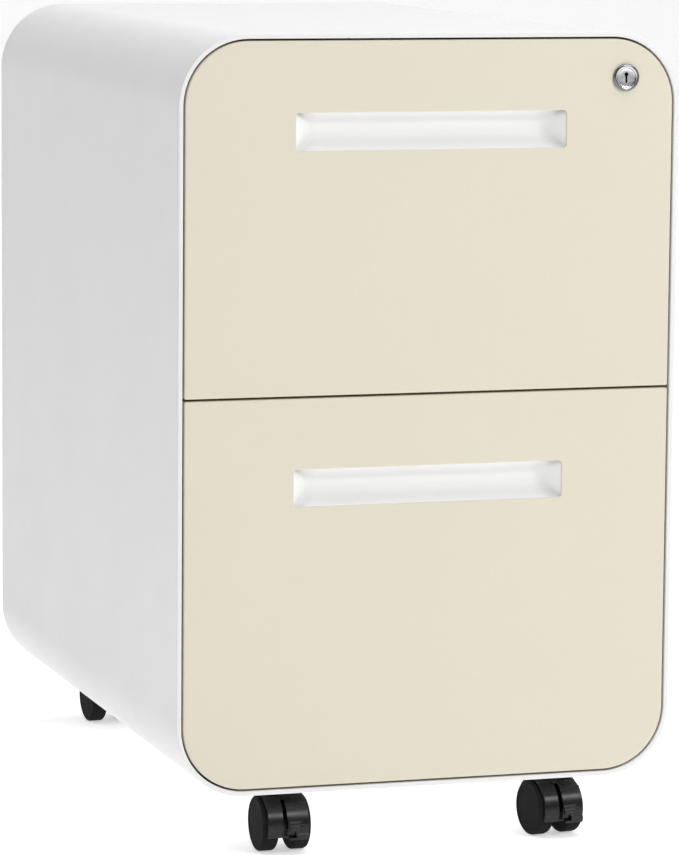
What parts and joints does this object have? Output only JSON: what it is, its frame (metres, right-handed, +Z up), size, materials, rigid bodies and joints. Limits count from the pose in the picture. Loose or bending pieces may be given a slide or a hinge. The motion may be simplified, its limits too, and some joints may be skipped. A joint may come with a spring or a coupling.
{
  "type": "mobile filing cabinet",
  "caption": "Upright steel filing cabinet with rounded corners, stacked file drawers with recessed pulls, a key lock and swivel casters.",
  "frame": {"origin": "on the floor, under the middle of the cabinet's bounding box", "axes": "+Z up, X across the width, the drawers open towards -Y"},
  "size_m": [0.39, 0.5724, 0.615],
  "materials": {
    "white_paint": "satin white powder coat",
    "cream_paint": "matt cream powder coat",
    "cup_plastic": "satin white moulded",
    "zinc_steel": "bright zinc plated",
    "lock_chrome": "polished",
    "wheel_black": "satin black nylon",
    "hood_black": "black moulded"
  },
  "bodies": {
    "cabinet": {"shell": "white_paint", "back_panel": "white_paint", "back_screws": "zinc_steel", "side_frame_left": "zinc_steel", "side_frame_right": "zinc_steel", "base_plate": "zinc_steel", "divider_rail": "zinc_steel", "slide_outer_upper_left": "zinc_steel", "slide_outer_upper_right": "zinc_steel", "slide_outer_lower_left": "zinc_steel", "slide_outer_lower_right": "zinc_steel", "caster_bolts": "zinc_steel", "caster_plate_front_left": "zinc_steel", "caster_plate_front_right": "zinc_steel", "caster_plate_rear_left": "zinc_steel", "caster_plate_rear_right": "zinc_steel"},
    "drawer_upper": {"front_panel_upper": "cream_paint", "inner_panel_upper": "white_paint", "handle_cup_upper": "cup_plastic", "tray_upper": "white_paint", "drawer_back_upper": "white_paint", "file_frame_upper": "zinc_steel", "front_screws_upper": "zinc_steel", "lock_catch_upper": "zinc_steel", "slide_inner_upper_left": "zinc_steel", "slide_inner_upper_right": "zinc_steel", "lock_housing": "lock_chrome", "lock_nut": "zinc_steel"},
    "slide_middle_upper_left": {"slide_middle_upper_left": "zinc_steel"},
    "slide_middle_upper_right": {"slide_middle_upper_right": "zinc_steel"},
    "drawer_lower": {"front_panel_lower": "cream_paint", "inner_panel_lower": "white_paint", "handle_cup_lower": "cup_plastic", "tray_lower": "white_paint", "drawer_back_lower": "white_paint", "file_frame_lower": "zinc_steel", "front_screws_lower": "zinc_steel", "lock_catch_lower": "zinc_steel", "slide_inner_lower_left": "zinc_steel", "slide_inner_lower_right": "zinc_steel"},
    "slide_middle_lower_left": {"slide_middle_lower_left": "zinc_steel"},
    "slide_middle_lower_right": {"slide_middle_lower_right": "zinc_steel"},
    "key_plug": {"lock_plug": "lock_chrome", "lock_cam": "zinc_steel"},
    "lock_bar": {"lock_bar": "zinc_steel"},
    "caster_front_left": {"caster_hood_front_left": "hood_black"},
    "wheels_front_left": {"caster_wheels_front_left": "wheel_black", "caster_axle_front_left": "zinc_steel"},
    "brake_front_left": {"brake_lever_front_left": "hood_black"},
    "caster_front_right": {"caster_hood_front_right": "hood_black"},
    "wheels_front_right": {"caster_wheels_front_right": "wheel_black", "caster_axle_front_right": "zinc_steel"},
    "brake_front_right": {"brake_lever_front_right": "hood_black"},
    "caster_rear_left": {"caster_hood_rear_left": "hood_black"},
    "wheels_rear_left": {"caster_wheels_rear_left": "wheel_black", "caster_axle_rear_left": "zinc_steel"},
    "caster_rear_right": {"caster_hood_rear_right": "hood_black"},
    "wheels_rear_right": {"caster_wheels_rear_right": "wheel_black", "caster_axle_rear_right": "zinc_steel"}
  },
  "joints": [
    {"name": "drawer_upper_slide", "type": "slide", "parent": "cabinet", "child": "drawer_upper", "axis": [0, -1, 0], "range_m": [0, 0.48]},
    {"name": "slide_middle_upper_left_run", "type": "slide", "parent": "cabinet", "child": "slide_middle_upper_left", "axis": [0, -1, 0], "range_m": [0, 0.24]},
    {"name": "slide_middle_upper_right_run", "type": "slide", "parent": "cabinet", "child": "slide_middle_upper_right", "axis": [0, -1, 0], "range_m": [0, 0.24]},
    {"name": "drawer_lower_slide", "type": "slide", "parent": "cabinet", "child": "drawer_lower", "axis": [0, -1, 0], "range_m": [0, 0.48]},
    {"name": "slide_middle_lower_left_run", "type": "slide", "parent": "cabinet", "child": "slide_middle_lower_left", "axis": [0, -1, 0], "range_m": [0, 0.24]},
    {"name": "slide_middle_lower_right_run", "type": "slide", "parent": "cabinet", "child": "slide_middle_lower_right", "axis": [0, -1, 0], "range_m": [0, 0.24]},
    {"name": "key_turn", "type": "hinge", "parent": "drawer_upper", "child": "key_plug", "pos_m": [0.152, -0.28375, 0.5807], "axis": [0, -1, 0], "range_deg": [0, 90]},
    {"name": "lock_bar_lift", "type": "slide", "parent": "cabinet", "child": "lock_bar", "axis": [0, 0, 1], "range_m": [0, 0.008]},
    {"name": "swivel_front_left", "type": "hinge", "parent": "cabinet", "child": "caster_front_left", "pos_m": [-0.1075, -0.24325, 0.048], "axis": [0, 0, 1], "continuous": true},
    {"name": "roll_front_left", "type": "hinge", "parent": "caster_front_left", "child": "wheels_front_left", "pos_m": [-0.10726, -0.25725, 0.021], "axis": [0.9998, 0.0175, 0], "continuous": true},
    {"name": "brake_front_left_lift", "type": "hinge", "parent": "caster_front_left", "child": "brake_front_left", "pos_m": [-0.10726, -0.25725, 0.021], "axis": [-0.9998, -0.0175, 0], "range_deg": [0, 20]},
    {"name": "swivel_front_right", "type": "hinge", "parent": "cabinet", "child": "caster_front_right", "pos_m": [0.1075, -0.24325, 0.048], "axis": [0, 0, 1], "continuous": true},
    {"name": "roll_front_right", "type": "hinge", "parent": "caster_front_right", "child": "wheels_front_right", "pos_m": [0.10945, -0.25711, 0.021], "axis": [0.9903, 0.1392, 0], "continuous": true},
    {"name": "brake_front_right_lift", "type": "hinge", "parent": "caster_front_right", "child": "brake_front_right", "pos_m": [0.10945, -0.25711, 0.021], "axis": [-0.9903, -0.1392, 0], "range_deg": [0, 20]},
    {"name": "swivel_rear_left", "type": "hinge", "parent": "cabinet", "child": "caster_rear_left", "pos_m": [-0.1075, 0.24575, 0.048], "axis": [0, 0, 1], "continuous": true},
    {"name": "roll_rear_left", "type": "hinge", "parent": "caster_rear_left", "child": "wheels_rear_left", "pos_m": [-0.10848, 0.25972, 0.021], "axis": [-0.9976, -0.0698, 0], "continuous": true},
    {"name": "swivel_rear_right", "type": "hinge", "parent": "cabinet", "child": "caster_rear_right", "pos_m": [0.1075, 0.24575, 0.048], "axis": [0, 0, 1], "continuous": true},
    {"name": "roll_rear_right", "type": "hinge", "parent": "caster_rear_right", "child": "wheels_rear_right", "pos_m": [0.10969, 0.25958, 0.021], "axis": [-0.9877, 0.1564, 0], "continuous": true}
  ],
  "couplings": [
    {"joint": "slide_middle_upper_left_run", "follows": "drawer_upper_slide", "ratio": 0.5},
    {"joint": "slide_middle_upper_right_run", "follows": "drawer_upper_slide", "ratio": 0.5},
    {"joint": "slide_middle_lower_left_run", "follows": "drawer_lower_slide", "ratio": 0.5},
    {"joint": "slide_middle_lower_right_run", "follows": "drawer_lower_slide", "ratio": 0.5},
    {"joint": "key_turn", "follows": "lock_bar_lift", "rad_per_m": 196.35}
  ]
}
